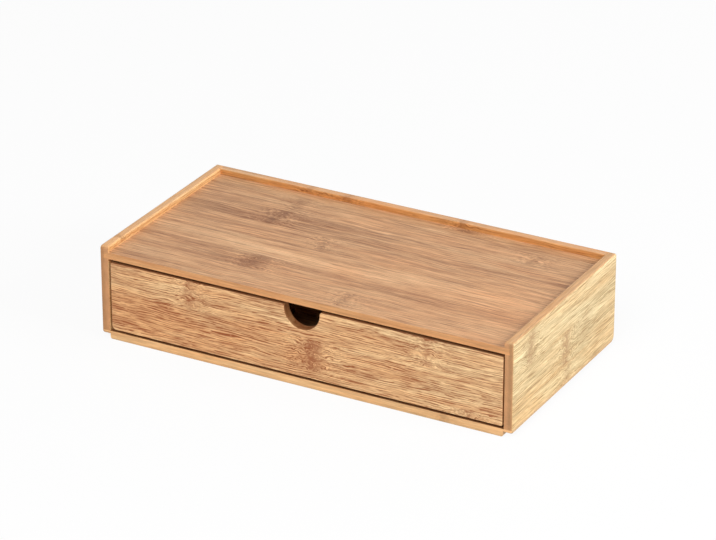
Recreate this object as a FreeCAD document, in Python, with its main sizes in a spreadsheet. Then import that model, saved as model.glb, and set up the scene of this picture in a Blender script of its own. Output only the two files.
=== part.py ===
import FreeCAD, Part
import math
import os
import re

import Sketcher
from FreeCAD import Vector

# A low bamboo box with one flush drawer for tea bags. Its top board lies between the side panels
# and a little below their upper edges, so that it makes a shallow tray, open at the front. Sides
# and back stand on the thin rebated edge of the base board, whose thicker middle touches the table.
# Frame: +X to the right of someone facing the drawer, +Y to the back, +Z up. The origin is at
# the middle of the footprint, on the surface that the box stands on. All lengths are millimetres.

# Driving sizes of the case
CASE = {
    "box_width": 330,
    "box_depth": 165,
    "box_height": 72.6,
    "side_thickness": 7,
    "back_thickness": 7,
    "top_thickness": 5,
    "base_thickness": 6.1,
    "plinth_height": 3.2,
    "plinth_arris": 1.5,
    "rim_height": 4.4,
    "rim_roundover": 1.4,
    "back_roundover": 1,
    "front_foot_radius": 2,
    "rear_foot_radius": 5.2,
    "brow_radius": 2.5,
    "tail_radius": 2,
    "outer_arris": 1.6,
    "mouth_arris": 1.2,
    "board_arris": 0.4,
}

# Glued joints of the case: housings for the top board, grooves for the back
CASE_JOINTS = {
    "housing_depth": 4,
    "back_groove_depth": 3,
    "tongue_thickness": 3,
    "top_shoulder": 0.5,
    "land": 2,
    "glue_gap": 0.2,
}

# Running gaps of the drawer, and its front with the finger notch
DRAWER_FRONT = {
    "gap_top": 2.3,
    "gap_base": 1.5,
    "gap_side": 1,
    "drawer_shift": 0.4,
    "running_gap": 0.3,
    "front_thickness": 7,
    "front_arris": 0.8,
    "front_corner_radius": 1.5,
    "front_worn_radius": 3.5,
    "notch_radius": 14.1,
    "notch_upright": 0.3,
    "notch_shoulder_radius": 2,
    "front_groove_depth": 3,
}

# Walls, bottom panel and dividers of the drawer
DRAWER_BOX = {
    "drawer_inset": 0.5,
    "wall_thickness": 5,
    "wall_headroom": 9.7,
    "wall_arris": 1,
    "wall_tongue": 3,
    "wall_tongue_drop": 3,
    "rabbet_depth": 2.5,
    "panel_thickness": 3,
    "panel_lift": 3.5,
    "panel_groove_depth": 2.5,
    "divider_thickness": 4,
    "divider_drop": 3.5,
    "divider_arris": 0.8,
    "seat_depth": 1.5,
    "lap_slack": 0.1,
}

# Steel brads through the drawer sides into the ends of the drawer back
BRADS = {
    "brad_radius": 0.6,
    "brad_length": 14,
    "brad_head_radius": 1.1,
    "brad_head_thickness": 0.6,
    "brad_edge": 9,
    "brad_fit": 0.02,
}

# Compartments from side to side, and two points nearer than this are the same point
COLUMNS = 3
SAME_PLACE = 0.001

# Sizes that follow from the driving ones. Depths count from the front of the box, and front_left
# and hollow_left are places in the frame, where the drawer front and the drawer's hollow begin.
DERIVED = {
    "clear_width": "box_width - 2 * side_thickness",
    "back_face": "box_depth - back_thickness",
    "top_underside": "box_height - rim_height - top_thickness",
    "top_tongue": "top_thickness - top_shoulder",
    "side_tongue": "housing_depth - glue_gap",
    "rear_tongue": "back_groove_depth - glue_gap",
    "board_width": "clear_width + 2 * side_tongue",
    "back_tongue_foot": "base_thickness + land",
    "back_tongue_top": "top_underside - land",
    "front_foot": "base_thickness + gap_base",
    "front_width": "clear_width - 2 * gap_side",
    "front_left": "drawer_shift - front_width / 2",
    "hollow_left": "drawer_shift - inside_width / 2",
    "front_height": "top_underside - gap_top - front_foot",
    "notch_drop": "notch_shoulder_radius + notch_upright",
    "wall_foot": "base_thickness + running_gap",
    "wall_above_front": "wall_foot - front_foot",
    "wall_height": "top_underside - wall_headroom - wall_foot",
    "wall_length": "back_face - running_gap - front_thickness",
    "wall_front_tongue": "front_groove_depth - glue_gap",
    "wall_tongue_foot": "panel_top + land",
    "wall_tongue_top": "wall_height - wall_tongue_drop",
    "panel_top": "panel_lift + panel_thickness",
    "panel_edge": "panel_groove_depth - glue_gap",
    "inside_width": "front_width - 2 * drawer_inset - 2 * wall_thickness",
    "inside_depth": "wall_length - wall_thickness",
    "inside_left": "drawer_inset + wall_thickness",
    "divider_seat": "seat_depth - glue_gap",
    "divider_height": "wall_height - panel_top - divider_drop",
    "column_width": f"(inside_width - {COLUMNS - 1} * divider_thickness) / {COLUMNS}",
    "column_pitch": "column_width + divider_thickness",
    "slot_width": "divider_thickness + lap_slack",
    "lap_height": "(divider_height - lap_slack) / 2",
    "brad_low": "panel_top + brad_edge",
    "brad_high": "wall_height - brad_edge",
}

doc = FreeCAD.newDocument("drawer_box")
sheet = doc.addObject("Spreadsheet::Sheet", "Sizes")
for row, (size_name, size) in enumerate(
        {**CASE, **CASE_JOINTS, **DRAWER_FRONT, **DRAWER_BOX, **BRADS}.items(), start=1):
    sheet.set(f"A{row}", size_name)
    sheet.set(f"B{row}", str(size))
    sheet.setAlias(f"B{row}", size_name)
doc.recompute()


def bound(text):
    """The text as an expression on the sheet, with the derived sizes written out."""
    def spell(match):
        word = match.group()
        return f"({bound(DERIVED[word])})" if word in DERIVED else f"Sizes.{word}"
    return re.sub(r"[a-z_]+", spell, text)


def value(text):
    """What the text comes to with the sheet's present sizes."""
    return float(sheet.evalExpression(bound(text)))


def place(piece, x, y, z):
    """Ties the place of a piece to the sheet."""
    for axis, text in (("x", x), ("y", y), ("z", z)):
        piece.setExpression(f"Placement.Base.{axis}", bound(text))


def new_body(label, x, y, z):
    body = doc.addObject("PartDesign::Body", label)
    body.Label = label
    place(body, x, y, z)
    return body


def new_sketch(body, plane, name, offset="0"):
    """A sketch on one of the body's own origin planes, moved along its normal by the offset."""
    sketch = body.newObject("Sketcher::SketchObject", name)
    for feature in body.Origin.OriginFeatures:
        if feature.Role == plane:
            sketch.AttachmentSupport = (feature, [""])
    sketch.MapMode = "FlatFace"
    sketch.setExpression("AttachmentOffset.Base.z", bound(offset))
    return sketch


def tie(sketch, constraint, text):
    """Adds a dimension to a sketch and ties it to the sheet."""
    index = sketch.addConstraint(constraint)
    sketch.setExpression(f"Constraints[{index}]", bound(text))


def fix_point(sketch, curve, end, across, up):
    """Dimensions the end of a curve from the sketch's origin."""
    for kind, axis, text in (("DistanceX", -2, across), ("DistanceY", -1, up)):
        if text == "0":
            sketch.addConstraint(Sketcher.Constraint("PointOnObject", curve, end, axis))
        else:
            tie(sketch, Sketcher.Constraint(kind, curve, end, value(text)), text)


def outline(sketch, corners):
    """A closed outline of straight lines through corners, each given as (across, up)."""
    first = sketch.GeometryCount
    places = [Vector(value(across), value(up), 0) for across, up in corners]
    for start, end in zip(places, places[1:] + places[:1]):
        sketch.addGeometry(Part.LineSegment(start, end), False)
    for number, (across, up) in enumerate(corners):
        following = first + (number + 1) % len(corners)
        sketch.addConstraint(Sketcher.Constraint("Coincident", first + number, 2, following, 1))
        fix_point(sketch, first + number, 1, across, up)


def rectangle(sketch, left, low, right, high):
    outline(sketch, [(left, low), (right, low), (right, high), (left, high)])


def circle(sketch, across, up, radius):
    centre = Vector(value(across), value(up), 0)
    ring = sketch.addGeometry(Part.Circle(centre, Vector(0, 0, 1), value(radius)))
    fix_point(sketch, ring, 3, across, up)
    tie(sketch, Sketcher.Constraint("Radius", ring, value(radius)), radius)


def extrude(body, kind, sketch, length, reverse):
    """A Pad or Pocket that must really add or take away material."""
    before = body.Shape.Volume if body.Tip else 0
    feature = body.newObject(f"PartDesign::{kind}", f"{sketch.Name}_{kind.lower()}")
    feature.Profile = sketch
    if length is None:
        feature.Type = "ThroughAll"
    else:
        feature.setExpression("Length", bound(length))
    feature.Reversed = reverse
    doc.recompute()
    gained = body.Shape.Volume - before
    if (gained <= 0) if kind == "Pad" else (gained >= 0):
        raise ValueError(f"{feature.Name} changes nothing")


def pad(body, sketch, length, reverse=False):
    extrude(body, "Pad", sketch, length, reverse)


def pocket(body, sketch, length=None, reverse=False):
    extrude(body, "Pocket", sketch, length, reverse)


def edges_at(body, **where):
    """Names of the body's edges that lie at the given local coordinates, or reach from one of
    a pair of coordinates to the other."""
    names = []
    for number, edge in enumerate(body.Tip.Shape.Edges, start=1):
        box = edge.BoundBox
        spans = {"x": (box.XMin, box.XMax), "y": (box.YMin, box.YMax), "z": (box.ZMin, box.ZMax)}
        pairs = {axis: at if isinstance(at, tuple) else (at, at) for axis, at in where.items()}
        if all(abs(limit - value(text)) < SAME_PLACE
               for axis, pair in pairs.items() for limit, text in zip(spans[axis], pair)):
            names.append(f"Edge{number}")
    return names


def fillet(body, name, radius, *places_of_edges):
    """Rounds the edges found at each of the places, which are dictionaries for edges_at."""
    edges = [edge for where in places_of_edges for edge in edges_at(body, **where)]
    if not edges:
        raise ValueError(f"{body.Label} has no edge for {name}")
    rounded = body.Tip
    feature = body.newObject("PartDesign::Fillet", f"{body.Label}_{name}")
    feature.Base = (rounded, edges)
    feature.setExpression("Radius", bound(radius))
    doc.recompute()


def mirrored(source, label, across="0"):
    """The same piece for the other side of the upright plane at the given place across."""
    piece = doc.addObject("Part::Mirroring", label)
    piece.Label = label
    piece.Source = source
    piece.Normal = Vector(1, 0, 0)
    piece.setExpression("Base.x", bound(across))
    return piece


def round_feet(body, front, rear):
    """Rounds the lower edges in front and behind, where sides and base were rounded as one."""
    if front:
        fillet(body, "front_foot", "front_foot_radius", {"y": front, "z": "plinth_height"})
    fillet(body, "rear_foot", "rear_foot_radius", {"y": rear, "z": "plinth_height"})


def make_side_panel():
    """Side of the case: rounded corners, a housing for the top board and a groove for the back."""
    body = new_body("left_side_panel", "-box_width / 2", "-box_depth / 2", "0")
    blank = new_sketch(body, "YZ_Plane", "side_outline")
    rectangle(blank, "0", "plinth_height", "box_depth", "box_height")
    pad(body, blank, "side_thickness")
    round_feet(body, "0", "box_depth")
    fillet(body, "brow", "brow_radius", {"y": "0", "z": "box_height"})
    fillet(body, "tail", "tail_radius", {"y": "box_depth", "z": "box_height"})
    fillet(body, "outer_arris", "outer_arris", {"x": "0"})

    rim = new_sketch(body, "XZ_Plane", "side_rim")
    rim_corner(rim)
    pocket(body, rim, "back_face")

    housings = new_sketch(body, "YZ_Plane", "side_housings", "side_thickness")
    rectangle(housings, "0", "top_underside", "back_face", "top_underside + top_tongue")
    rectangle(housings, "back_face", "back_tongue_foot",
              "back_face + tongue_thickness", "back_tongue_top")
    pocket(body, housings, "housing_depth")

    below = new_sketch(body, "YZ_Plane", "side_above_base", "side_thickness")
    rectangle(below, "0", "plinth_height", "box_depth", "base_thickness")
    pocket(body, below)
    fillet(body, "mouth_arris", "mouth_arris",
           {"x": "side_thickness", "y": "0", "z": ("base_thickness", "top_underside")})
    return body


def rim_corner(sketch):
    """What the roundover takes off the inner upper edge of a side panel."""
    inner, high, radius = value("side_thickness"), value("box_height"), value("rim_roundover")
    corner = Vector(inner, high, 0)
    over = Vector(inner - radius, high, 0)
    under = Vector(inner, high - radius, 0)
    centre = Vector(inner - radius, high - radius, 0)
    quarter = Part.ArcOfCircle(Part.Circle(centre, Vector(0, 0, 1), radius), 0, math.pi / 2)
    sketch.addGeometry([Part.LineSegment(corner, over), Part.LineSegment(under, corner), quarter], False)
    sketch.addConstraint(Sketcher.Constraint("Coincident", 1, 2, 0, 1))
    sketch.addConstraint(Sketcher.Constraint("Horizontal", 0))
    sketch.addConstraint(Sketcher.Constraint("Vertical", 1))
    sketch.addConstraint(Sketcher.Constraint("Tangent", 2, 2, 0, 2))
    sketch.addConstraint(Sketcher.Constraint("Tangent", 2, 1, 1, 1))
    fix_point(sketch, 0, 1, "side_thickness", "box_height")
    tie(sketch, Sketcher.Constraint("Radius", 2, radius), "rim_roundover")


def make_back_panel():
    """Back of the case, between the side panels and as high as they are."""
    body = new_body("back_panel", "-board_width / 2", "back_face - box_depth / 2", "0")
    end = "side_tongue + clear_width"
    core = new_sketch(body, "XZ_Plane", "back_outline")
    rectangle(core, "side_tongue", "plinth_height", end, "box_height")
    pad(body, core, "back_thickness", reverse=True)
    round_feet(body, None, "back_thickness")
    fillet(body, "rim", "back_roundover", {"y": "0", "z": "box_height"})
    fillet(body, "tail", "tail_radius", {"y": "back_thickness", "z": "box_height"})

    below = new_sketch(body, "XZ_Plane", "back_above_base")
    rectangle(below, "side_tongue", "plinth_height", end, "base_thickness")
    pocket(body, below)

    tongues = new_sketch(body, "XZ_Plane", "back_tongues")
    rectangle(tongues, "0", "back_tongue_foot", "board_width", "back_tongue_top")
    pad(body, tongues, "tongue_thickness", reverse=True)

    groove = new_sketch(body, "XZ_Plane", "back_groove")
    rectangle(groove, "side_tongue", "top_underside", end, "top_underside + top_tongue")
    pocket(body, groove, "back_groove_depth")
    return body


def make_top_board():
    """Board that makes the tray, let into the sides and the back at nearly its full thickness.
    Its ends show at the front ends of the side panels."""
    body = new_body("top_board", "-board_width / 2", "-box_depth / 2", "top_underside")
    shoulder = "side_tongue + clear_width"
    tongues = new_sketch(body, "XY_Plane", "top_tongues")
    outline(tongues, [
        ("0", "0"),
        ("board_width", "0"),
        ("board_width", "back_face"),
        (shoulder, "back_face"),
        (shoulder, "back_face + rear_tongue"),
        ("side_tongue", "back_face + rear_tongue"),
        ("side_tongue", "back_face"),
        ("0", "back_face"),
    ])
    pad(body, tongues, "top_tongue")
    core = new_sketch(body, "XY_Plane", "top_outline")
    rectangle(core, "side_tongue", "0", shoulder, "back_face")
    pad(body, core, "top_thickness")
    fillet(body, "front_arris", "board_arris", {"y": "0", "z": "top_thickness"})
    return body


def make_base_board():
    """Board that the drawer runs on. Its rebated edge reaches under the sides and the back, and
    is rounded as the foot of a block as tall as the box, then cut to its thickness."""
    body = new_body("base_board", "-box_width / 2", "-box_depth / 2", "0")
    edge = new_sketch(body, "XY_Plane", "base_edge_outline", "plinth_height")
    rectangle(edge, "0", "0", "box_width", "box_depth")
    pad(body, edge, "box_height")
    round_feet(body, "0", "box_depth")
    fillet(body, "outer_arris", "outer_arris", {"x": "0"}, {"x": "box_width"})
    above = new_sketch(body, "XY_Plane", "base_edge_top", "base_thickness")
    rectangle(above, "0", "0", "box_width", "box_depth")
    pocket(body, above, reverse=True)

    plinth = new_sketch(body, "XY_Plane", "plinth_outline")
    rectangle(plinth, "side_thickness", "0", "side_thickness + clear_width", "back_face")
    pad(body, plinth, "base_thickness")
    fillet(body, "plinth_arris", "plinth_arris",
           {"x": "side_thickness", "z": "0"}, {"x": "side_thickness + clear_width", "z": "0"})
    return body


def notch_outline(sketch):
    """Half round with short upright walls, open at the upper edge of the drawer front."""
    across, up = "front_width / 2", "front_height - notch_drop"
    radius = value("notch_radius")
    centre = Vector(value(across), value(up), 0)
    top = value("front_height + notch_shoulder_radius")
    left, right = centre.x - radius, centre.x + radius
    bowl = Part.ArcOfCircle(Part.Circle(centre, Vector(0, 0, 1), radius), math.pi, 2 * math.pi)
    sketch.addGeometry([
        bowl,
        Part.LineSegment(Vector(right, centre.y, 0), Vector(right, top, 0)),
        Part.LineSegment(Vector(right, top, 0), Vector(left, top, 0)),
        Part.LineSegment(Vector(left, top, 0), Vector(left, centre.y, 0)),
    ], False)
    sketch.addConstraint(Sketcher.Constraint("Tangent", 0, 2, 1, 1))
    sketch.addConstraint(Sketcher.Constraint("Coincident", 1, 2, 2, 1))
    sketch.addConstraint(Sketcher.Constraint("Coincident", 2, 2, 3, 1))
    sketch.addConstraint(Sketcher.Constraint("Tangent", 3, 2, 0, 1))
    sketch.addConstraint(Sketcher.Constraint("Vertical", 1))
    sketch.addConstraint(Sketcher.Constraint("Horizontal", 2))
    fix_point(sketch, 0, 3, across, up)
    tie(sketch, Sketcher.Constraint("Radius", 0, radius), "notch_radius")
    tie(sketch, Sketcher.Constraint("DistanceY", 2, 1, top), "front_height + notch_shoulder_radius")


def make_drawer_front():
    """Flush drawer front with its finger notch, grooved behind for walls, panel and dividers."""
    body = new_body("drawer_front", "front_left", "-box_depth / 2", "front_foot")
    blank = new_sketch(body, "XZ_Plane", "front_outline")
    rectangle(blank, "0", "0", "front_width", "front_height")
    pad(body, blank, "front_thickness", reverse=True)
    notch = new_sketch(body, "XZ_Plane", "front_notch")
    notch_outline(notch)
    pocket(body, notch)
    fillet(body, "notch_shoulders", "notch_shoulder_radius",
           {"x": "front_width / 2 - notch_radius", "z": "front_height"},
           {"x": "front_width / 2 + notch_radius", "z": "front_height"})
    fillet(body, "worn_corner", "front_worn_radius", {"x": "0", "z": "0"})
    fillet(body, "corners", "front_corner_radius",
           {"x": "0", "z": "front_height"},
           {"x": "front_width", "z": "0"},
           {"x": "front_width", "z": "front_height"})
    fillet(body, "front_arris", "front_arris", {"y": "0"})

    joints = new_sketch(body, "XZ_Plane", "front_wall_grooves", "-front_thickness")
    low, high = "wall_above_front + wall_tongue_foot", "wall_above_front + wall_tongue_top"
    rectangle(joints, "inside_left - wall_tongue", low, "inside_left", high)
    rectangle(joints, "front_width - inside_left", low, "front_width - inside_left + wall_tongue", high)
    pocket(body, joints, "front_groove_depth", reverse=True)

    groove = new_sketch(body, "XZ_Plane", "front_panel_groove", "-front_thickness")
    rectangle(groove, "inside_left - panel_groove_depth", "wall_above_front + panel_lift",
              "front_width - inside_left + panel_groove_depth", "wall_above_front + panel_top")
    pocket(body, groove, "panel_groove_depth", reverse=True)

    seats = new_sketch(body, "XZ_Plane", "front_divider_seats", "-front_thickness")
    divider_seats(seats, "inside_left", "wall_above_front + panel_top")
    pocket(body, seats, "seat_depth", reverse=True)
    return body


def divider_seats(sketch, inside, low):
    """Upright seats for the cross dividers, counted from where the inside of the drawer begins."""
    for number in range(1, COLUMNS):
        right = f"{inside} + {number} * column_pitch"
        rectangle(sketch, f"{right} - divider_thickness", low, right, f"{low} + divider_height")


def make_drawer_side():
    """Left wall of the drawer, tongued into the front and rabbeted for the back."""
    body = new_body("drawer_left_side", "front_left + drawer_inset",
                    "front_thickness - wall_front_tongue - box_depth / 2", "wall_foot")
    rear = "wall_front_tongue + wall_length"
    inside_rear = "wall_front_tongue + inside_depth"
    blank = new_sketch(body, "YZ_Plane", "wall_outline")
    rectangle(blank, "wall_front_tongue", "0", rear, "wall_height")
    pad(body, blank, "wall_thickness")
    fillet(body, "top_arris", "wall_arris",
           {"x": "0", "z": "wall_height"}, {"x": "wall_thickness", "z": "wall_height"})

    tongue = new_sketch(body, "YZ_Plane", "wall_front_tongue", "wall_thickness - wall_tongue")
    rectangle(tongue, "0", "wall_tongue_foot", "wall_front_tongue", "wall_tongue_top")
    pad(body, tongue, "wall_tongue")

    rabbet = new_sketch(body, "YZ_Plane", "wall_rabbet", "wall_thickness")
    rectangle(rabbet, inside_rear, "0", rear, "wall_height")
    pocket(body, rabbet, "rabbet_depth")

    groove = new_sketch(body, "YZ_Plane", "wall_panel_groove", "wall_thickness")
    rectangle(groove, "wall_front_tongue", "panel_lift", inside_rear, "panel_top")
    pocket(body, groove, "panel_groove_depth")

    seat = new_sketch(body, "YZ_Plane", "wall_divider_seat", "wall_thickness")
    middle = "wall_front_tongue + inside_depth / 2"
    rectangle(seat, f"{middle} - divider_thickness / 2", "panel_top",
              f"{middle} + divider_thickness / 2", "panel_top + divider_height")
    pocket(body, seat, "seat_depth")

    for name, radius, depth in (("shank", "brad_radius + brad_fit", "wall_thickness"),
                                ("head", "brad_head_radius + brad_fit", "brad_head_thickness")):
        holes = new_sketch(body, "YZ_Plane", f"wall_brad_{name}")
        for height in ("brad_low", "brad_high"):
            circle(holes, f"{inside_rear} + wall_thickness / 2", height, radius)
        pocket(body, holes, depth, reverse=True)
    return body


def make_drawer_back():
    """Back wall of the drawer, let into the rabbets of both side walls."""
    body = new_body("drawer_back", "hollow_left - rabbet_depth",
                    "front_thickness + inside_depth - box_depth / 2", "wall_foot")
    full = "inside_width + 2 * rabbet_depth"
    blank = new_sketch(body, "XZ_Plane", "drawer_back_outline")
    rectangle(blank, "0", "0", full, "wall_height")
    pad(body, blank, "wall_thickness", reverse=True)
    fillet(body, "top_arris", "wall_arris",
           {"y": "0", "z": "wall_height"}, {"y": "wall_thickness", "z": "wall_height"})

    groove = new_sketch(body, "XZ_Plane", "drawer_back_panel_groove")
    rectangle(groove, "0", "panel_lift", full, "panel_top")
    pocket(body, groove, "panel_groove_depth")

    seats = new_sketch(body, "XZ_Plane", "drawer_back_divider_seats")
    divider_seats(seats, "rabbet_depth", "panel_top")
    pocket(body, seats, "seat_depth")

    depth = "brad_length - wall_thickness + rabbet_depth"
    for name, offset, reverse in (("left", "0", True), ("right", full, False)):
        holes = new_sketch(body, "YZ_Plane", f"drawer_back_{name}_holes", offset)
        for height in ("brad_low", "brad_high"):
            circle(holes, "wall_thickness / 2", height, "brad_radius + brad_fit")
        pocket(body, holes, depth, reverse=reverse)
    return body


def make_drawer_bottom():
    """Thin panel held in the grooves of all four drawer walls."""
    body = new_body("drawer_bottom", "hollow_left - panel_edge",
                    "front_thickness - panel_edge - box_depth / 2", "wall_foot + panel_lift")
    sketch = new_sketch(body, "XY_Plane", "panel_outline")
    rectangle(sketch, "0", "0", "inside_width + 2 * panel_edge", "inside_depth + 2 * panel_edge")
    pad(body, sketch, "panel_thickness")
    return body


def make_long_divider():
    """Divider along the drawer, slotted from above where the cross dividers pass."""
    body = new_body("long_divider", "hollow_left - divider_seat",
                    "front_thickness + inside_depth / 2 - divider_thickness / 2 - box_depth / 2",
                    "wall_foot + panel_top")
    full = "inside_width + 2 * divider_seat"
    corners = [("0", "0"), (full, "0"), (full, "divider_height")]
    for number in range(COLUMNS - 1, 0, -1):
        middle = f"divider_seat + {number} * column_pitch - divider_thickness / 2"
        left, right = f"{middle} - slot_width / 2", f"{middle} + slot_width / 2"
        corners += [(right, "divider_height"), (right, "lap_height"),
                    (left, "lap_height"), (left, "divider_height")]
    corners += [("0", "divider_height")]
    sketch = new_sketch(body, "XZ_Plane", "long_divider_outline")
    outline(sketch, corners)
    pad(body, sketch, "divider_thickness", reverse=True)
    fillet(body, "top_arris", "divider_arris",
           {"y": "0", "z": "divider_height"}, {"y": "divider_thickness", "z": "divider_height"})
    return body


def make_cross_divider(label, number):
    """Divider from front to back, slotted from below where it straddles the long divider."""
    body = new_body(label, f"hollow_left + {number} * column_pitch - divider_thickness",
                    "front_thickness - divider_seat - box_depth / 2", "wall_foot + panel_top")
    full = "inside_depth + 2 * divider_seat"
    near, far = f"({full} - slot_width) / 2", f"({full} + slot_width) / 2"
    top_of_slot = "divider_height - lap_height"
    sketch = new_sketch(body, "YZ_Plane", f"{label}_outline")
    outline(sketch, [("0", "0"), (near, "0"), (near, top_of_slot), (far, top_of_slot), (far, "0"),
                     (full, "0"), (full, "divider_height"), ("0", "divider_height")])
    pad(body, sketch, "divider_thickness")
    fillet(body, "top_arris", "divider_arris",
           {"x": "0", "z": "divider_height"}, {"x": "divider_thickness", "z": "divider_height"})
    return body


def make_brad(side, height):
    """One headed brad, driven from the outer face of a drawer side towards the middle."""
    name = f"{side}_{height}"
    shank = doc.addObject("Part::Cylinder", f"{name}_shank")
    shank.setExpression("Radius", bound("brad_radius"))
    shank.setExpression("Height", bound("brad_length"))
    head = doc.addObject("Part::Cylinder", f"{name}_head")
    head.setExpression("Radius", bound("brad_head_radius"))
    head.setExpression("Height", bound("brad_head_thickness"))
    brad = doc.addObject("Part::Fuse", name)
    brad.Base = shank
    brad.Tool = head
    outer = "front_width / 2 - drawer_inset"
    sign = {"left": -1, "right": 1}[side]
    brad.Placement.Rotation = FreeCAD.Rotation(Vector(0, 0, 1), Vector(-sign, 0, 0))
    place(brad, f"drawer_shift + {sign} * ({outer})",
          "front_thickness + inside_depth + wall_thickness / 2 - box_depth / 2", f"wall_foot + {height}")
    return brad


def make_brads():
    """The four brads of the drawer back as one group of separate solids."""
    group = doc.addObject("Part::Compound", "drawer_back_brads")
    group.Label = "drawer_back_brads"
    group.Links = [make_brad(side, height)
                   for side in ("left", "right") for height in ("brad_low", "brad_high")]
    return group


def make_case():
    side = make_side_panel()
    return [side, mirrored(side, "right_side_panel"), make_back_panel(),
            make_top_board(), make_base_board()]


def make_drawer():
    side = make_drawer_side()
    crossings = [("left", 1), ("right", COLUMNS - 1)]
    return [make_drawer_front(), side, mirrored(side, "drawer_right_side", "drawer_shift"),
            make_drawer_back(), make_drawer_bottom(), make_long_divider(),
            *[make_cross_divider(f"{name}_cross_divider", number) for name, number in crossings],
            make_brads()]


def check(pieces):
    """Stops before anything is written if a feature failed or a piece is not a sound solid."""
    doc.recompute()
    for item in doc.Objects:
        if {"Invalid", "Error"} & set(item.State):
            raise ValueError(f"{item.Label} could not be built")
    for piece in pieces:
        if piece.Shape.isNull() or not piece.Shape.isValid() or not piece.Shape.Solids:
            raise ValueError(f"{piece.Label} is not a valid solid")


def write(pieces):
    os.makedirs("parts", exist_ok=True)
    for piece in pieces:
        piece.Shape.exportStep(f"parts/{piece.Label}.step")


nodes = make_case() + make_drawer()
check(nodes)
write(nodes)
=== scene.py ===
import math
import random
from collections import namedtuple

import bpy
from mathutils import Matrix, Vector


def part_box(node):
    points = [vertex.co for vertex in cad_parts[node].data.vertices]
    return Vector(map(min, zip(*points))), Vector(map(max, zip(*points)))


# Looks for a bamboo drawer box. Every panel is pressed from flat bamboo strips laid side by side,
# so its material works out the strips, their fibres and their knuckles from the place of a point
# in the row frame. Lengths inside the materials are millimetres, and all others are metres.

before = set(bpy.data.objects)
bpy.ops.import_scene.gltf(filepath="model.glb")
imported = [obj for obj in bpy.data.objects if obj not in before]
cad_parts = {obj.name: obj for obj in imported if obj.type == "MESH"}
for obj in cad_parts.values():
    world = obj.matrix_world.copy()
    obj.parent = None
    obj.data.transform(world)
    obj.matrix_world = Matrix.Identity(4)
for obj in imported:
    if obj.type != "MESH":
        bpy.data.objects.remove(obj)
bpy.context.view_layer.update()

AXES = "xyz"
MM_PER_M = 1000

# How wide a strip of cane is
STRIP_WIDTH = 24.8

# The share of that width that a seam between strips darkens
SEAM_SHARE = 0.014

# From one vessel, a fine dark line in the cane, to the next
VESSEL_PITCH = 1.75

# How far from an arris its wear and painted highlight reach
WEAR_AND_HIGHLIGHT_REACH = 1.6

# How much of a unit normal along an axis makes a surface face that axis, from not at all to fully
FACING = (0.5, 0.9)

# A strip's tone runs from -1, dark, to 1, pale, and its warmth from -1, straw, to 1, reddish
Strip = namedtuple("Strip", "tone warmth")

# A knuckle of the cane: its place along the panel, the strip that it crosses, the half width of
# its core, how far it slants, its strength from 0 to 1, and the side on which its strip stays
# dark, from -1 to 1
Knot = namedtuple("Knot", "along low high core slant strength tail")

# A soft patch: its middle, its half length along the grain and half width across it, and how much
# darker, warmer and fuller of fibre dashes it is
Patch = namedtuple("Patch", "along across length width dark warm dashes")

# What tells one panel's bamboo from another's: its colours, which carry some painted light and
# shade as well as the bamboo's own tone, with warm as a tint, how strongly its streaks, short fibre
# dashes and knuckles show, how rough its lacquer is, how far its streaks run, and how much painted
# shade darkens its outermost edges where they meet a narrow gap
Look = namedtuple("Look", "pale dark warm knot end edge streaks dashes knuckles rough run gap",
                  defaults=(0,))

# A panel's grain runs along one axis and its strips lie side by side along the second, from first
Panel = namedtuple("Panel", "node grain across look first strips knots patches")

# A kind of noise in the cane: the millimetres that a blotch takes along the grain, across it and
# through the panel, and what the next strip and the kind itself add to the place, so that no
# pattern runs on from one strip into another or shows twice. Drift and swirl bend the fibres, bend
# moves the vessels off them, and wobble frays the knuckles. Broad, medium, fine and hair are the
# streaks, from wide to thin. Vessels crowd where it is dense, hue is how red the cane is, mottle
# makes the flecks of a knuckle, and end dots are the fibre bundles in a cut end
Kind = namedtuple("Kind", "along across deep per_strip shift detail roughness",
                  defaults=(3, 17.3, 0, 2, 0.5))
DRIFT = Kind(48, 11, detail=1)
SWIRL = Kind(7, 4, detail=1)
WOBBLE = Kind(3.2, 2.6, roughness=0.6)
BROAD = Kind(120, 5.5)
MEDIUM = Kind(55, 2.1, shift=20)
FINE = Kind(14, 0.8, deep=1.1, per_strip=7.1, detail=3)
HAIR = Kind(9, 0.34, deep=0.34, per_strip=0)
DENSE = Kind(34, 4.5, shift=50)
BEND = Kind(26, 3, shift=70)
HUE = Kind(55, 9, shift=90)
MOTTLE = Kind(2.1, 1.5, deep=1.5, per_strip=0)
END_DOTS = Kind(60, 0.5, deep=0.5, per_strip=0, detail=1)


def rgb(red, green, blue):
    """A colour as it is seen, from 0 to 255, as the linear values that a socket takes."""
    def linear(value):
        share = value / 255
        return share / 12.92 if share <= 0.04045 else ((share + 0.055) / 1.055) ** 2.4
    return (*(linear(value) for value in (red, green, blue)), 1)


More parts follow.
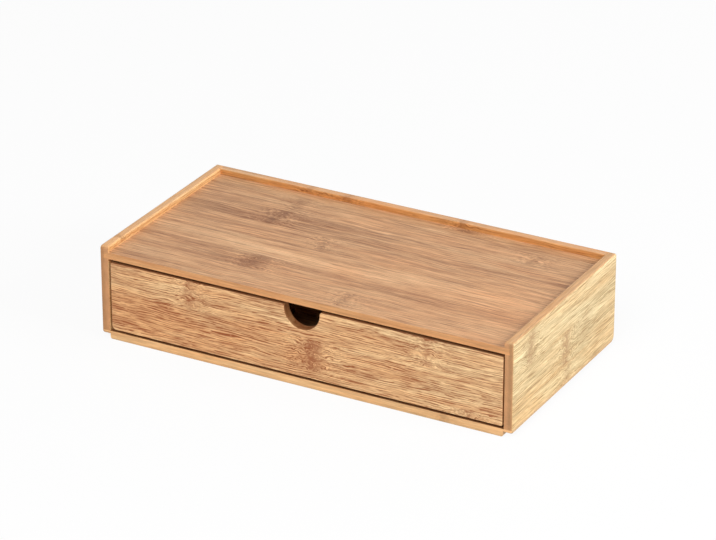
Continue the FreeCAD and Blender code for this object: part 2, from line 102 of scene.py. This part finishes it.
class Wire:
    """An output in a node tree that plain arithmetic works on, with one Math node for each step."""

    def __init__(self, tree, socket):
        self.tree, self.socket = tree, socket

    def math(self, operation, *others):
        node = self.tree.nodes.new("ShaderNodeMath")
        node.operation = operation
        for slot, item in zip(node.inputs, (self, *others)):
            put(self.tree, slot, item)
        return Wire(self.tree, node.outputs[0])

    def __add__(self, other):
        return self.math("ADD", other)

    def __sub__(self, other):
        return self.math("SUBTRACT", other)

    def __mul__(self, other):
        return self.math("MULTIPLY", other)

    def __truediv__(self, other):
        return self.math("DIVIDE", other)

    def __rsub__(self, other):
        return (self * -1).math("ADD", other)

    __radd__, __rmul__ = __add__, __mul__

    def size(self):
        return self.math("ABSOLUTE")

    def least(self, other):
        return self.math("MINIMUM", other)

    def most(self, other):
        return self.math("MAXIMUM", other)

    def clamped(self):
        return self.most(0).least(1)

    def rise(self, low, high):
        """0 below low and 1 above high, smooth between them."""
        node = self.tree.nodes.new("ShaderNodeMapRange")
        node.interpolation_type = "SMOOTHSTEP"
        for name, item in (("Value", self), ("From Min", low), ("From Max", high)):
            put(self.tree, node.inputs[name], item)
        return Wire(self.tree, node.outputs["Result"])

    def bell(self, width):
        """1 at zero, falling away smoothly on both sides."""
        share = self / width
        return (share * share * -1).math("EXPONENT")


def put(tree, slot, item):
    """Links a wire into a socket, or sets the socket to a plain value."""
    if isinstance(item, Wire):
        tree.links.new(item.socket, slot)
    else:
        slot.default_value = item


def named(sockets, identifier):
    """The socket with this identifier, for nodes whose sockets share a name."""
    return next(socket for socket in sockets if socket.identifier == identifier)


def triple(tree, x, y, z):
    """Three values as one point."""
    node = tree.nodes.new("ShaderNodeCombineXYZ")
    for slot, item in zip(node.inputs, (x, y, z)):
        put(tree, slot, item)
    return Wire(tree, node.outputs[0])


def parts_of(wire, kind="ShaderNodeSeparateXYZ"):
    """The three values of a point, or of a colour."""
    node = wire.tree.nodes.new(kind)
    wire.tree.links.new(wire.socket, node.inputs[0])
    return [Wire(wire.tree, output) for output in node.outputs]


def noise(point, detail=2.0, roughness=0.5):
    """Smooth noise about zero, to about a third either way."""
    node = point.tree.nodes.new("ShaderNodeTexNoise")
    put(point.tree, node.inputs["Vector"], point)
    node.inputs["Scale"].default_value = 1
    node.inputs["Detail"].default_value = detail
    node.inputs["Roughness"].default_value = roughness
    return Wire(point.tree, node.outputs[0]) - 0.5


def mixed(factor, first, second, blend="MIX"):
    """A colour between two others, or another blend of them."""
    node = factor.tree.nodes.new("ShaderNodeMix")
    node.data_type, node.blend_type = "RGBA", blend
    for identifier, item in (("Factor_Float", factor), ("A_Color", first), ("B_Color", second)):
        put(factor.tree, named(node.inputs, identifier), item)
    return Wire(factor.tree, named(node.outputs, "Result_Color"))


def scaled(colour, factor):
    """A colour made brighter or darker."""
    node = colour.tree.nodes.new("ShaderNodeVectorMath")
    node.operation = "SCALE"
    put(colour.tree, node.inputs[0], colour)
    put(colour.tree, node.inputs["Scale"], factor)
    return Wire(colour.tree, node.outputs[0])


def new_material(name):
    """A material with its node tree and its shader."""
    material = bpy.data.materials.new(name)
    material.use_nodes = True
    tree = material.node_tree
    return material, tree, tree.nodes["Principled BSDF"]


def add_bump(tree, shader, height, strength, distance):
    """Bumps in the surface, where a height of 1 stands distance proud."""
    bump = tree.nodes.new("ShaderNodeBump")
    bump.inputs["Strength"].default_value = strength
    bump.inputs["Distance"].default_value = distance
    put(tree, bump.inputs["Height"], height)
    tree.links.new(bump.outputs[0], shader.inputs["Normal"])


def per_strip(lookup, strips):
    """The tone and warmth of the strip at lookup, from 0 at the first to 1 past the last."""
    node = lookup.tree.nodes.new("ShaderNodeValToRGB")
    ramp = node.color_ramp
    ramp.interpolation = "CONSTANT"
    ramp.elements.remove(ramp.elements[-1])
    for index, strip in enumerate(strips):
        stop = ramp.elements.new(index / len(strips)) if index else ramp.elements[0]
        stop.color = (strip.tone / 2 + 0.5, strip.warmth / 2 + 0.5, 0, 1)
    put(lookup.tree, node.inputs[0], lookup)
    tone, warmth, _ = parts_of(Wire(lookup.tree, node.outputs[0]), "ShaderNodeSeparateColor")
    return tone * 2 - 1, warmth * 2 - 1


def knot_fields(along, across, wobble, knot):
    """The core of a knuckle, the wavy fibres round it and the dark side of its strip."""
    middle, half = (knot.low + knot.high) / 2, (knot.high - knot.low) / 2
    from_middle = across - middle
    offset = along - knot.along - from_middle * knot.slant + wobble * 12
    inside = 1 - (from_middle.size() + wobble).rise(half - 0.7, half + 0.5)
    inside = inside * knot.strength
    core = offset.bell(knot.core) * inside
    halo = offset.bell(knot.core + 12) * inside
    if not knot.tail:
        return core, halo, 0
    tail = (offset * math.copysign(1, knot.tail)).rise(-2, 3) * offset.bell(55) * inside
    return core, halo, tail * abs(knot.tail)


def patch_fields(along, across, patch):
    """How much darker, warmer and fuller of dashes a soft patch makes a point."""
    share = (along - patch.along) / patch.length
    rest = (across - patch.across) / patch.width
    inside = ((share * share + rest * rest) * -1).math("EXPONENT")
    return inside * patch.dark, inside * patch.warm, inside * patch.dashes


def added(fields):
    """Fields of the same three kinds added up, kind by kind."""
    return [sum(kind) for kind in zip(*fields)] if fields else [0] * 3


def span(node, axis):
    """The middle of a node along an axis and half its size there."""
    low, high = (corner[AXES.index(axis)] * MM_PER_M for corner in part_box(node))
    return (low + high) / 2, (high - low) / 2


def edge_nearness(place, node, reach):
    """1 on the panel's arrises, falling to 0 at reach from them."""
    gaps = []
    for axis in AXES:
        middle, half = span(node, axis)
        gaps.append((half - (place[axis] - middle).size()).most(0))
    smallest = gaps[0].least(gaps[1]).least(gaps[2])
    largest = gaps[0].most(gaps[1]).most(gaps[2])
    second = gaps[0] + gaps[1] + gaps[2] - smallest - largest
    return 1 - second.rise(0, reach)


def skin_nearness(deep, axis, node):
    """0 on the half of a panel that faces the middle of the box, and 1 on the other half."""
    middle, half = span(node, axis)
    outward = math.copysign(1, middle)
    return ((deep - middle) * (outward / half)).rise(-0.5, 0.3)


class Cane:
    """The bamboo of one panel, worked out at each of its points as wires in its node tree."""

    def __init__(self, tree, panel):
        self.tree, self.panel, self.look = tree, panel, panel.look
        where = tree.nodes.new("ShaderNodeTexCoord").outputs
        self.place = {axis: wire * MM_PER_M
                      for axis, wire in zip(AXES, parts_of(Wire(tree, where["Object"])))}
        self.facing = {axis: wire.size().rise(*FACING)
                       for axis, wire in zip(AXES, parts_of(Wire(tree, where["Normal"])))}
        depth_axis = (set(AXES) - {panel.grain, panel.across}).pop()
        self.along, self.across, self.deep = (
            self.place[axis] for axis in (panel.grain, panel.across, depth_axis))
        self.skin = skin_nearness(self.deep, depth_axis, panel.node)
        self.lay_strips()
        self.lay_fibres()
        self.lay_vessels()

    def speckle(self, kind, along=None, across=None):
        """Noise of one kind at the point, or at another place along and across the panel."""
        x = (along or self.along) / kind.along
        y = (across or self.across) / kind.across
        z = self.deep / kind.deep + self.number * kind.per_strip + kind.shift
        return noise(triple(self.tree, x, y, z), kind.detail, kind.roughness)

    def lay_strips(self):
        """Finds the strip that the point is in, and the seam beside it."""
        in_strips = (self.across - self.panel.first) / STRIP_WIDTH
        count = len(self.panel.strips)
        self.number = in_strips.math("FLOOR").most(0).least(count - 1)
        self.tone, self.warmth = per_strip((self.number + 0.5) / count, self.panel.strips)
        nearest_seam = (in_strips + 0.5).math("FLOOR")
        self.seam = 1 - (in_strips - nearest_seam).size().rise(0, SEAM_SHARE)

    def lay_fibres(self):
        """Lays out the fibres, which wander a little, and more so round a knuckle."""
        swirl = self.speckle(SWIRL)
        self.wobble, self.mottle = self.speckle(WOBBLE), self.speckle(MOTTLE)
        self.core, self.halo, self.tail = added(
            [knot_fields(self.along, self.across, self.wobble, knot) for knot in self.panel.knots])
        ragged = self.along + swirl * 10, self.across + swirl * 5
        self.patch_dark, self.patch_warm, self.patch_dashes = added(
            [patch_fields(*ragged, patch) for patch in self.panel.patches])
        self.fibre = self.across + self.speckle(DRIFT) * 5 + swirl * self.halo * 10
        self.run = self.along / self.look.run
        self.broad, self.medium, self.fine = (
            self.speckle(kind, self.run, self.fibre) for kind in (BROAD, MEDIUM, FINE))
        self.hair, self.dense, self.hue = (
            self.speckle(kind, across=self.fibre) for kind in (HAIR, DENSE, HUE))

    def lay_vessels(self):
        """Lays vessels side by side along the fibres, each broken up in its own way."""
        rows = self.fibre / VESSEL_PITCH + self.speckle(BEND) * 1.6
        row = (rows + 0.5).math("FLOOR")
        breaks = noise(triple(self.tree, self.run / 7, row * 3.7, self.number * 5.3))
        lines = 1 - (rows - row).size().rise(0.04, 0.26)
        unbroken = (breaks + self.dense * 0.4).rise(-0.14, 0.08)
        crowding = (self.dense * 1.6 + 0.65 + self.patch_dashes).clamped()
        self.dashes = lines * unbroken * crowding

    def face_colour(self):
        """The colour of a face that shows the strips' length and width."""
        look = self.look

        # A value of 0 is the look's dark colour and 1 its pale one
        streaks = self.broad * 0.45 + self.medium * 0.5 + self.fine * 1.1 + self.hair * 0.7
        value = 0.5 + self.tone * 0.1 + streaks * look.streaks - self.dashes * look.dashes
        value = value - self.patch_dark - self.tail * 0.16 - self.seam * 0.06
        value = value + self.mottle * self.halo * look.knuckles * 2
        colour = mixed(value.clamped(), look.dark, look.pale)
        tint = (self.warmth * 0.3 + 0.4 + self.hue * 1.8 + self.patch_warm).clamped()
        colour = mixed(tint, colour, look.warm, "MULTIPLY")
        flecks = (self.mottle + self.wobble * 0.6).rise(-0.12, 0.08)
        crust = (self.core * (flecks * 0.9 + 0.15) * look.knuckles).clamped()
        return mixed(crust, colour, look.knot)

    def end_colour(self):
        """The colour of a cut end. Cane is denser and darker towards its skin, which faces out."""
        dots = self.speckle(END_DOTS).rise(0.02, 0.2)
        colour = mixed((dots + self.skin * 0.5) * 0.4, self.look.end, self.look.dark)
        return scaled(colour, 1 + self.broad * 0.4 - self.skin * 0.16)

    def edge_colour(self):
        """The colour of a long edge, darkened with painted shading on the outer arrises that meet a
        narrow opening between parts.
        """
        look = self.look
        colour = mixed((self.hue * 2.5 + 0.5).clamped(), look.edge, look.warm, "MULTIPLY")
        colour = mixed(self.core * 0.6, colour, look.knot)
        # Painted shade on the outermost edges where they meet a narrow gap, plus a darker tone
        # towards the skin, as the cane has
        middle, half = span(self.panel.node, self.panel.across)
        gap_shade_mask = (self.across - middle).size().rise(half - 2.5, half - 1)
        skin_tone_and_gap_shade = self.skin * 0.04 + gap_shade_mask * look.gap
        return scaled(colour, 1 + self.broad * 0.45 + self.fine * 0.8 + self.hair * 0.3 - skin_tone_and_gap_shade)

    def colour(self):
        """The colour of the point whichever way it faces, a little paler at the arrises, partly as
        wear and partly as a painted highlight.
        """
        on_edge, on_end = self.facing[self.panel.across], self.facing[self.panel.grain]
        colour = mixed(on_edge * 0.85, self.face_colour(), self.edge_colour())
        colour = mixed(on_end, colour, self.end_colour())
        blotches = noise(triple(self.tree, *(self.place[axis] / 6 for axis in AXES)), detail=3)
        # Paler at the arrises: partly wear, partly a painted highlight
        wear_and_highlight = edge_nearness(self.place, self.panel.node, WEAR_AND_HIGHLIGHT_REACH) * (blotches * 1.6 + 0.6)
        return scaled(colour, 1 + wear_and_highlight.clamped() * 0.05)

    def roughness(self):
        """How matt the lacquer is over the fibres, vessels and knuckles."""
        return self.look.rough + self.fine * 0.2 + self.dashes * 0.08 + self.core * 0.05

    def height(self):
        """The relief of the fibres and of the curly grain at a knuckle."""
        fibres = self.fine * 1.2 + self.hair * 0.8 - self.dashes * 0.4
        return fibres + self.mottle * self.halo


def bamboo(panel):
    """The material of one pressed bamboo panel."""
    material, tree, shader = new_material(panel.node + "_bamboo")
    cane = Cane(tree, panel)
    put(tree, shader.inputs["Base Color"], cane.colour())
    put(tree, shader.inputs["Roughness"], cane.roughness())
    shader.inputs["Specular IOR Level"].default_value = 0.4
    add_bump(tree, shader, cane.height(), strength=0.35, distance=0.00012)
    return material


def steel(name):
    """Drawn steel with faint lines and dull patches."""
    material, tree, shader = new_material(name)
    where = tree.nodes.new("ShaderNodeTexCoord")
    x, y, z = (wire * MM_PER_M for wire in parts_of(Wire(tree, where.outputs["Object"])))
    lines = noise(triple(tree, x / 4, y / 0.1, z / 0.1), detail=2)
    dull = noise(triple(tree, x / 1.5, y / 0.8, z / 0.8), detail=3)
    shader.inputs["Metallic"].default_value = 1
    colour = mixed((dull * 2 + 0.4).clamped(), rgb(196, 196, 198), rgb(140, 138, 134))
    put(tree, shader.inputs["Base Color"], colour)
    put(tree, shader.inputs["Roughness"], 0.34 + lines * 0.2 + dull * 0.2)
    add_bump(tree, shader, lines, strength=0.2, distance=0.00003)
    return material


# The looks of the panels. Their colours differ partly as the boards' own bamboo does and partly as
# painted light and shade of how each face is lit: the tray's darker colour is partly painted shade,
# the right side's paler colour is partly painted light from the right, the left side's brighter,
# more orange copy of it is painted light on the inner face of its rim, and the back's deep orange
# is partly painted shade and bounce light on the inner face of its rim
# The drawer front's dark edge colour is partly painted shade of the gaps round the drawer, and its
# gap value paints more shade on the edges that meet them
FRONT = Look(
    pale=rgb(255, 219, 164), dark=rgb(154, 92, 50), warm=rgb(255, 232, 216),
    knot=rgb(156, 92, 54), end=rgb(176, 120, 74), edge=rgb(146, 92, 52),
    streaks=1.5, dashes=0.8, knuckles=1.0, rough=0.5, run=1.1, gap=0.3)
TRAY = Look(
    pale=rgb(245, 197, 149), dark=rgb(138, 91, 56), warm=rgb(255, 240, 230),
    knot=rgb(120, 78, 52), end=rgb(196, 142, 94), edge=rgb(214, 156, 100),
    streaks=1.3, dashes=0.18, knuckles=0.85, rough=0.5, run=2.2)
SIDE = Look(
    pale=rgb(244, 224, 176), dark=rgb(158, 128, 80), warm=rgb(255, 238, 222),
    knot=rgb(150, 104, 62), end=rgb(204, 147, 99), edge=rgb(213, 166, 119),
    streaks=1.4, dashes=0.48, knuckles=0.8, rough=0.5, run=1.5)
LEFT_SIDE = SIDE._replace(
    pale=rgb(255, 220, 158), dark=rgb(194, 136, 84), edge=rgb(226, 180, 132), streaks=0.8)
BACK = Look(
    pale=rgb(250, 190, 118), dark=rgb(146, 86, 42), warm=rgb(255, 232, 212),
    knot=rgb(128, 72, 40), end=rgb(200, 148, 104), edge=rgb(219, 175, 133),
    streaks=0.9, dashes=0.3, knuckles=0.9, rough=0.5, run=1.5)
BASE = Look(
    pale=rgb(208, 150, 94), dark=rgb(114, 70, 38), warm=rgb(255, 238, 224),
    knot=rgb(122, 74, 44), end=rgb(232, 194, 144), edge=rgb(245, 203, 148),
    streaks=1.0, dashes=0.3, knuckles=0.9, rough=0.55, run=1.5)
WALL = Look(
    pale=rgb(250, 212, 158), dark=rgb(158, 112, 70), warm=rgb(255, 240, 228),
    knot=rgb(136, 88, 52), end=rgb(200, 148, 98), edge=rgb(230, 184, 124),
    streaks=1.0, dashes=0.3, knuckles=0.8, rough=0.56, run=1.5)


def plain_cane(seed, first, last, reach, *more_knots):
    """Strips and knuckles for a panel that the photograph hides, or shows only the rim of."""
    chance = random.Random(seed)
    strips, knots = [], []
    for index in range(math.ceil((last - first) / STRIP_WIDTH)):
        low = first + index * STRIP_WIDTH
        knots.append(Knot(chance.uniform(*reach), low, low + STRIP_WIDTH, chance.uniform(2.5, 5),
                          chance.uniform(-0.15, 0.15), chance.uniform(0.5, 1),
                          chance.choice((0, 0, -0.6, 0.6))))
        strips.append(Strip(chance.uniform(-0.8, 0.8), chance.uniform(-0.5, 0.5)))
    return strips, [*knots, *more_knots]


# Between which places along a panel plain_cane puts a knuckle, for grain that runs from left to
# right and for grain that runs from front to back
ACROSS_BOX, FRONT_TO_BACK = (-150, 150), (-70, 70)

# The strips, knuckles and patches of the tray, the drawer front and the right side are placed one
# by one. Those of the other panels come by chance, but for the two knuckles on the back's rim and
# the painted shade along the front of the base board, which shows in the gap under the drawer
PANELS = [
    Panel("top_board", "x", "y", TRAY, -107.8, [
        Strip(0.2, 0.1), Strip(0.2, 0.1), Strip(-0.3, 0.3), Strip(0.8, -0.3), Strip(0.0, 0.2),
        Strip(-0.6, 0.0), Strip(0.1, -0.1), Strip(0.1, -0.1),
    ], [
        Knot(-82, 16, 41, 5, 0.12, 0.9, 0.0),
        Knot(-79, 41, 66, 6, -0.2, 0.4, 0.0),
        Knot(115, 43, 61, 4, 0.1, 0.55, 0.0),
        Knot(-30, -8.5, 15, 3, -0.35, 0.6, 0.0),
        Knot(-58, -57, -33, 8, 0.1, 0.7, -0.5),
        Knot(27, -80, -58, 3, 0.1, 0.6, 0.0),
        Knot(50, 69, 77, 8, 0, 0.9, 0.0),
    ], [
        Patch(-50, 29, 50, 12, 0.17, 0, 0.2),
        Patch(-125, 22, 40, 6, 0.16, 0, 0.2),
        Patch(-20, 38, 60, 2.5, 0.1, 0, 0),
        Patch(-60, -46, 11, 8, 0.2, 0.3, 0),
        Patch(-85, -48, 20, 5, 0.14, 0.2, 0),
        Patch(-60, -24, 45, 2.5, -0.2, -0.2, 0),
        Patch(10, -27, 50, 2.5, -0.2, -0.2, 0),
        Patch(130, -30, 30, 30, -0.04, 0.4, 0),
        Patch(10, -30, 18, 14, 0, 0.4, 0),
        Patch(-150, 0, 80, 120, 0.05, 0, 0),
        Patch(60, -41, 30, 3, 0.1, 0.4, 0),
        Patch(-105, 16.8, 48, 1, 0.2, 0, 0),
    ]),
    Panel("drawer_front", "x", "z", FRONT, -11.2, [
        Strip(0.9, 0.1), Strip(0.5, 0.3), Strip(0.7, 0.1),
    ], [
        Knot(9, 13.6, 38.3, 8, 0.05, 0.85, 0.0),
        Knot(-91, 38.3, 62, 4.5, 0.0, 0.6, 0.0),
        Knot(99, 39, 62, 3.5, 0.0, 0.6, 0.0),
        Knot(131, 4, 13.6, 5, 0.0, 0.8, 0.0),
    ], [
        Patch(-136, 28, 26, 9, 0.06, 0.9, 0),
        Patch(-80, 24, 80, 26, 0.02, 0.45, 0),
        Patch(-112, 50, 20, 9, -0.12, -0.3, 0.2),
        Patch(-64, 33, 16, 4, 0.1, 0, 1.0),
        Patch(77, 35, 14, 3, 0.08, 0, 1.0),
        Patch(124, 24, 34, 4, 0.1, -0.6, 0.8),
        Patch(-100, 31, 24, 4, 0.1, 0.2, 0.4),
        Patch(26, 25, 10, 12, -0.12, -0.2, 0),
        Patch(120, 40, 50, 30, -0.04, -0.3, 0),
    ]),
    Panel("right_side_panel", "y", "z", SIDE, -5, [
        Strip(0.2, 0.4), Strip(-0.1, 0.0), Strip(0.1, -0.2), Strip(0.1, 0.2),
    ], [
        Knot(-55, 44.8, 70, 6, 0.1, 0.7, 0.0),
        Knot(1, 20, 46, 6, 0.05, 0.9, 0.0),
        Knot(4, 4, 20, 5, 0.05, 0.5, 0.0),
        Knot(30, 26, 50, 9, 0.05, 0.25, 0.0),
    ], [
        Patch(30, 38, 14, 10, 0.14, -0.8, 0.2),
        Patch(-58, 10, 26, 6, -0.1, 0.8, 0),
        Patch(20, 20, 20, 8, 0.06, -0.4, 0),
        Patch(-20, 20.5, 60, 1.2, 0.12, 0.8, 0),
    ]),
    Panel("left_side_panel", "y", "z", LEFT_SIDE, -5, *plain_cane(11, -5, 72, FRONT_TO_BACK), []),
    Panel("back_panel", "x", "z", BACK, -11, *plain_cane(
        12, -11, 72, ACROSS_BOX,
        Knot(-81, 55, 74, 2.5, 0, 0.5, 0),
        Knot(45, 55, 74, 3, 0, 0.6, 0),
    ), []),
    Panel("base_board", "x", "y", BASE, -107.8, *plain_cane(13, -107.8, 85, ACROSS_BOX), [
        # Painted shade: a dark band along the front of the board's faces, where the top shows in
        # the gap under the drawer front
        Patch(0, -80, 400, 4, 0.5, 0, 0),
    ]),
    Panel("drawer_left_side", "y", "z", WALL, -5, *plain_cane(14, -5, 55, FRONT_TO_BACK), []),
    Panel("drawer_right_side", "y", "z", WALL, -5, *plain_cane(15, -5, 55, FRONT_TO_BACK), []),
    Panel("drawer_back", "x", "z", WALL, -5, *plain_cane(16, -5, 55, ACROSS_BOX), []),
    Panel("drawer_bottom", "x", "y", WALL, -100, *plain_cane(17, -100, 85, ACROSS_BOX), []),
    Panel("long_divider", "x", "z", WALL, 0, *plain_cane(18, 0, 50, ACROSS_BOX), []),
    Panel("left_cross_divider", "y", "z", WALL, 0, *plain_cane(19, 0, 50, FRONT_TO_BACK), []),
    Panel("right_cross_divider", "y", "z", WALL, 0, *plain_cane(20, 0, 50, FRONT_TO_BACK), []),
]


def dress():
    """Gives every node of the model its material."""
    for panel in PANELS:
        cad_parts[panel.node].material_slots[0].material = bamboo(panel)
    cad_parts["drawer_back_brads"].material_slots[0].material = steel("brad_steel")


# The photograph's view, worked out from the box's edges there: azimuth, elevation and roll in
# degrees, the focal length on the sensor's width, both in millimetres, and the camera's place
VIEW_ANGLES = (28.579, 25.381, 0.015)
LENS, SENSOR_WIDTH = 184.02, 36
CAMERA_PLACE = (1.12974, -2.07359, 1.17639)

# Soft square lamps: place, width and power in watts
LAMPS = {
    "key": ((2.0, 0.1, 1.0), 1.0, 35),
    "fill": ((0.3, -1.8, 1.8), 1.2, 39),
    "back_fill": ((0.5, 2.3, 0.9), 1.2, 11),
}

# The light from all round, where 1 is white
SKY_LIGHT = 0.22

# The share of plain white in what the camera sees of the floor. The rest keeps the box's shadow
FLOOR_WHITE = 0.92


def set_camera():
    """Sets the camera in the photograph's view."""
    azimuth, elevation, roll = (math.radians(angle) for angle in VIEW_ANGLES)
    back = Vector((math.sin(azimuth) * math.cos(elevation),
                   -math.cos(azimuth) * math.cos(elevation), math.sin(elevation)))
    right = Vector((0, 0, 1)).cross(back).normalized()
    up = back.cross(right)
    tilt = Matrix.Rotation(roll, 3, back)
    camera = bpy.data.objects.new("camera", bpy.data.cameras.new("camera"))
    camera.data.sensor_width = SENSOR_WIDTH
    camera.data.lens = LENS
    camera.data.clip_start, camera.data.clip_end = 0.05, 50
    turned = Matrix((tilt @ right, tilt @ up, back)).transposed()
    camera.matrix_world = Matrix.Translation(CAMERA_PLACE) @ turned.to_4x4()
    bpy.context.scene.collection.objects.link(camera)
    bpy.context.scene.camera = camera


def add_lamp(name, place, size, power):
    """Adds a soft square lamp that shines at the box."""
    lamp = bpy.data.objects.new(name, bpy.data.lights.new(name, "AREA"))
    lamp.data.size, lamp.data.energy = size, power
    lamp.location = place
    lamp.rotation_euler = Vector(place).to_track_quat("Z", "Y").to_euler()
    bpy.context.scene.collection.objects.link(lamp)


def set_world():
    """Sets plain soft light all round, and white where the camera sees past the floor."""
    world = bpy.data.worlds.new("studio")
    world.use_nodes = True
    tree = world.node_tree
    sky = tree.nodes["Background"]
    sky.inputs["Color"].default_value = (1, 1, 1, 1)
    path = tree.nodes.new("ShaderNodeLightPath")
    seen = Wire(tree, path.outputs["Is Camera Ray"]).most(
        Wire(tree, path.outputs["Is Glossy Ray"])).most(
        Wire(tree, path.outputs["Is Transmission Ray"]))
    put(tree, sky.inputs["Strength"], seen * (1 - SKY_LIGHT) + SKY_LIGHT)
    bpy.context.scene.world = world


def add_floor():
    """Adds a wide pale floor, just under the box, that shows white to the camera and keeps the
    box's soft shadow. It is clear from below and to rays that leave the box's underside and are
    shorter than touching, so that the underside shows and is lit."""
    half, drop, touching = 6.0, 0.0002, 0.002
    mesh = bpy.data.meshes.new("floor")
    corners = ((-half, -half), (half, -half), (half, half), (-half, half))
    mesh.from_pydata([(x, y, -drop) for x, y in corners], [], [(0, 1, 2, 3)])
    floor = bpy.data.objects.new("floor", mesh)
    bpy.context.scene.collection.objects.link(floor)
    material, tree, shader = new_material("floor_paper")
    shader.inputs["Base Color"].default_value = rgb(240, 240, 240)
    shader.inputs["Roughness"].default_value = 0.9
    glow = tree.nodes.new("ShaderNodeEmission")
    path = tree.nodes.new("ShaderNodeLightPath")
    blend = tree.nodes.new("ShaderNodeMixShader")
    put(tree, blend.inputs[0], Wire(tree, path.outputs["Is Camera Ray"]) * FLOOR_WHITE)
    tree.links.new(shader.outputs[0], blend.inputs[1])
    tree.links.new(glow.outputs[0], blend.inputs[2])
    clear = tree.nodes.new("ShaderNodeMixShader")
    side = tree.nodes.new("ShaderNodeNewGeometry")
    near = Wire(tree, path.outputs["Ray Length"]).math("LESS_THAN", touching)
    put(tree, clear.inputs[0], near.most(Wire(tree, side.outputs["Backfacing"])))
    tree.links.new(blend.outputs[0], clear.inputs[1])
    tree.links.new(tree.nodes.new("ShaderNodeBsdfTransparent").outputs[0], clear.inputs[2])
    tree.links.new(clear.outputs[0], tree.nodes["Material Output"].inputs["Surface"])
    mesh.materials.append(material)


bpy.context.scene.view_settings.view_transform = "Standard"
dress()
set_camera()
set_world()
add_floor()
for lamp_name, lamp_values in LAMPS.items():
    add_lamp(lamp_name, *lamp_values)
